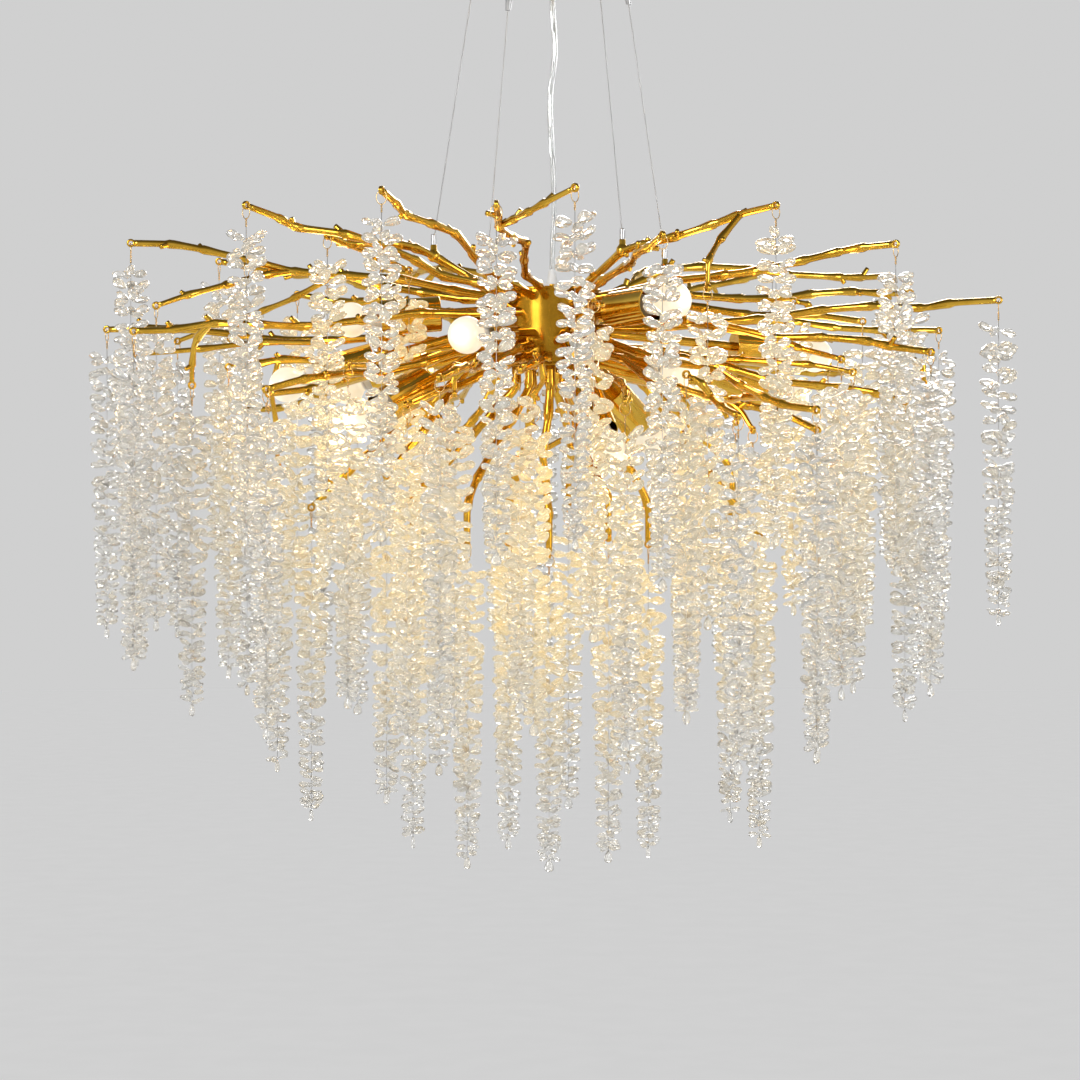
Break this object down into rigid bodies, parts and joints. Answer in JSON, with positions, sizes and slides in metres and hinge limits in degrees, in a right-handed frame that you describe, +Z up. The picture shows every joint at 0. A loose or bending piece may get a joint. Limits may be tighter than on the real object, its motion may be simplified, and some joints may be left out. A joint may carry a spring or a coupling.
{
  "type": "crystal chandelier",
  "caption": "Round chandelier: gold cast branches spread from a hub hung on thin wires, with glowing globe bulbs and long strands of teardrop glass beads.",
  "frame": {"origin": "on the ceiling, at the middle of the bracket's two screw holes", "axes": "+Z up into the ceiling, along the hub's axis; -Y towards the viewer of the picture, +X to the viewer's right"},
  "size_m": [1.179, 1.092, 1.179],
  "materials": {
    "gold": "polished",
    "brushed_gold": "brushed",
    "steel": "satin",
    "wire": "twisted wire",
    "gland": "gloss",
    "clear_cord": "clear gloss",
    "white_plastic": "matte",
    "bulb_glass": "milky, lit",
    "crystal": "polished clear"
  },
  "bodies": {
    "frame": {"ceiling_bracket": "steel", "canopy_cover": "gold", "canopy_nuts": "gold", "canopy_terminal_block": "white_plastic", "suspension_wires": "wire", "wire_grippers": "steel", "wire_anchors": "steel", "cord_gland_top": "gland", "cord_gland_hub": "gland", "power_cord": "clear_cord", "hub_shell": "gold", "hub_top_plate": "gold", "hub_base_plate": "gold", "hub_bolts": "gold", "hub_finial": "gold", "hub_connector": "white_plastic", "lamp_arms": "gold", "lamp_cups": "brushed_gold", "lamp_holders": "white_plastic", "strands_front": "crystal", "strands_rear": "crystal", "strands_inner": "crystal", "branches_left": "gold", "branches_front_left": "gold", "branches_front": "gold", "branches_front_right": "gold", "branches_right": "gold", "branches_rear_right": "gold", "branches_rear": "gold", "branches_rear_left": "gold"},
    "swinging_strand_01": {"strand_01": "crystal"},
    "swinging_strand_02": {"strand_02": "crystal"},
    "swinging_strand_03": {"strand_03": "crystal"},
    "swinging_strand_04": {"strand_04": "crystal"},
    "swinging_strand_05": {"strand_05": "crystal"},
    "swinging_strand_06": {"strand_06": "crystal"},
    "swinging_strand_07": {"strand_07": "crystal"},
    "swinging_strand_08": {"strand_08": "crystal"},
    "swinging_strand_09": {"strand_09": "crystal"},
    "swinging_strand_10": {"strand_10": "crystal"},
    "swinging_strand_11": {"strand_11": "crystal"},
    "swinging_strand_12": {"strand_12": "crystal"},
    "swinging_strand_13": {"strand_13": "crystal"},
    "swinging_strand_14": {"strand_14": "crystal"},
    "swinging_strand_15": {"strand_15": "crystal"},
    "swinging_strand_16": {"strand_16": "crystal"},
    "swinging_strand_17": {"strand_17": "crystal"},
    "swinging_strand_18": {"strand_18": "crystal"},
    "turning_bulb_01": {"bulb_01": "bulb_glass"},
    "turning_bulb_02": {"bulb_02": "bulb_glass"},
    "turning_bulb_03": {"bulb_03": "bulb_glass"},
    "turning_bulb_04": {"bulb_04": "bulb_glass"},
    "turning_bulb_05": {"bulb_05": "bulb_glass"},
    "turning_bulb_06": {"bulb_06": "bulb_glass"},
    "turning_bulb_07": {"bulb_07": "bulb_glass"},
    "turning_bulb_08": {"bulb_08": "bulb_glass"},
    "turning_bulb_09": {"bulb_09": "bulb_glass"},
    "turning_bulb_10": {"bulb_10": "bulb_glass"},
    "turning_bulb_11": {"bulb_11": "bulb_glass"},
    "turning_bulb_12": {"bulb_12": "bulb_glass"}
  },
  "joints": [
    {"name": "strand_01_swing", "type": "hinge", "parent": "frame", "child": "swinging_strand_01", "pos_m": [-0.526, -0.105, -0.388], "axis": [-0.0981, 0.9952, 0], "range_deg": [-3, 22]},
    {"name": "strand_02_swing", "type": "hinge", "parent": "frame", "child": "swinging_strand_02", "pos_m": [-0.578, 0.035, -0.485], "axis": [0.1343, 0.9909, 0], "range_deg": [-4, 22]},
    {"name": "strand_03_swing", "type": "hinge", "parent": "frame", "child": "swinging_strand_03", "pos_m": [-0.36, -0.31, -0.366], "axis": [-0.7308, 0.6826, 0], "range_deg": [-12, 22]},
    {"name": "strand_04_swing", "type": "hinge", "parent": "frame", "child": "swinging_strand_04", "pos_m": [-0.329, -0.385, -0.586], "axis": [-0.6774, 0.7356, 0], "range_deg": [-11, 22]},
    {"name": "strand_05_swing", "type": "hinge", "parent": "frame", "child": "swinging_strand_05", "pos_m": [-0.196, -0.4, -0.36], "axis": [-0.9456, 0.3252, 0], "range_deg": [-8, 22]},
    {"name": "strand_06_swing", "type": "hinge", "parent": "frame", "child": "swinging_strand_06", "pos_m": [-0.064, -0.48, -0.386], "axis": [-0.9999, 0.016, 0], "range_deg": [-9, 22]},
    {"name": "strand_07_swing", "type": "hinge", "parent": "frame", "child": "swinging_strand_07", "pos_m": [0.023, -0.5, -0.37], "axis": [-0.6551, -0.7555, 0], "range_deg": [-9, 22]},
    {"name": "strand_08_swing", "type": "hinge", "parent": "frame", "child": "swinging_strand_08", "pos_m": [0.122, -0.445, -0.416], "axis": [-0.9282, -0.372, 0], "range_deg": [-5, 22]},
    {"name": "strand_09_swing", "type": "hinge", "parent": "frame", "child": "swinging_strand_09", "pos_m": [0.262, -0.3, -0.365], "axis": [-0.7599, -0.65, 0], "range_deg": [-3, 17]},
    {"name": "strand_10_swing", "type": "hinge", "parent": "frame", "child": "swinging_strand_10", "pos_m": [0.439, -0.335, -0.54], "axis": [-0.6807, -0.7326, 0], "range_deg": [-12, 22]},
    {"name": "strand_11_swing", "type": "hinge", "parent": "frame", "child": "swinging_strand_11", "pos_m": [0.414, -0.215, -0.401], "axis": [-0.5633, -0.8263, 0], "range_deg": [-8, 22]},
    {"name": "strand_12_swing", "type": "hinge", "parent": "frame", "child": "swinging_strand_12", "pos_m": [0.549, -0.15, -0.463], "axis": [-0.1714, -0.9852, 0], "range_deg": [-12, 22]},
    {"name": "strand_13_swing", "type": "hinge", "parent": "frame", "child": "swinging_strand_13", "pos_m": [0.526, 0.195, -0.474], "axis": [0.4369, -0.8995, 0], "range_deg": [-5, 22]},
    {"name": "strand_14_swing", "type": "hinge", "parent": "frame", "child": "swinging_strand_14", "pos_m": [0.465, 0.245, -0.395], "axis": [0.5375, -0.8432, 0], "range_deg": [-8, 22]},
    {"name": "strand_15_swing", "type": "hinge", "parent": "frame", "child": "swinging_strand_15", "pos_m": [0.312, 0.335, -0.371], "axis": [0.8114, -0.5845, 0], "range_deg": [-12, 22]},
    {"name": "strand_16_swing", "type": "hinge", "parent": "frame", "child": "swinging_strand_16", "pos_m": [0.033, 0.48, -0.38], "axis": [0.9991, 0.0414, 0], "range_deg": [-12, 6]},
    {"name": "strand_17_swing", "type": "hinge", "parent": "frame", "child": "swinging_strand_17", "pos_m": [-0.241, 0.405, -0.37], "axis": [0.7875, 0.6163, 0], "range_deg": [-11, 22]},
    {"name": "strand_18_swing", "type": "hinge", "parent": "frame", "child": "swinging_strand_18", "pos_m": [-0.42, 0.25, -0.38], "axis": [0.4095, 0.9123, 0], "range_deg": [-12, 22]},
    {"name": "bulb_01_turn", "type": "hinge", "parent": "frame", "child": "turning_bulb_01", "pos_m": [-0.257, -0.019, -0.477], "axis": [-0.993, -0.0905, -0.0756], "continuous": true},
    {"name": "bulb_02_turn", "type": "hinge", "parent": "frame", "child": "turning_bulb_02", "pos_m": [-0.337, -0.04, -0.561], "axis": [-0.9559, -0.0945, -0.2782], "continuous": true},
    {"name": "bulb_03_turn", "type": "hinge", "parent": "frame", "child": "turning_bulb_03", "pos_m": [-0.229, -0.25, -0.613], "axis": [-0.6091, -0.6879, -0.3948], "continuous": true},
    {"name": "bulb_04_turn", "type": "hinge", "parent": "frame", "child": "turning_bulb_04", "pos_m": [-0.103, -0.255, -0.514], "axis": [-0.3597, -0.9293, -0.0834], "continuous": true},
    {"name": "bulb_05_turn", "type": "hinge", "parent": "frame", "child": "turning_bulb_05", "pos_m": [0.07, -0.18, -0.653], "axis": [0.2857, -0.6401, -0.7132], "continuous": true},
    {"name": "bulb_06_turn", "type": "hinge", "parent": "frame", "child": "turning_bulb_06", "pos_m": [0.146, -0.199, -0.468], "axis": [0.6059, -0.7949, 0.0321], "continuous": true},
    {"name": "bulb_07_turn", "type": "hinge", "parent": "frame", "child": "turning_bulb_07", "pos_m": [0.159, -0.13, -0.555], "axis": [0.7615, -0.6159, -0.2021], "continuous": true},
    {"name": "bulb_08_turn", "type": "hinge", "parent": "frame", "child": "turning_bulb_08", "pos_m": [0.314, 0.07, -0.572], "axis": [0.955, 0.1952, -0.2233], "continuous": true},
    {"name": "bulb_09_turn", "type": "hinge", "parent": "frame", "child": "turning_bulb_09", "pos_m": [0.348, 0.1, -0.514], "axis": [0.9581, 0.2754, -0.0792], "continuous": true},
    {"name": "bulb_10_turn", "type": "hinge", "parent": "frame", "child": "turning_bulb_10", "pos_m": [0.136, 0.175, -0.621], "axis": [0.5226, 0.6649, -0.5337], "continuous": true},
    {"name": "bulb_11_turn", "type": "hinge", "parent": "frame", "child": "turning_bulb_11", "pos_m": [-0.022, 0.254, -0.485], "axis": [-0.086, 0.9961, -0.0205], "continuous": true},
    {"name": "bulb_12_turn", "type": "hinge", "parent": "frame", "child": "turning_bulb_12", "pos_m": [-0.268, 0.072, -0.558], "axis": [-0.9131, 0.2502, -0.3221], "continuous": true}
  ]
}
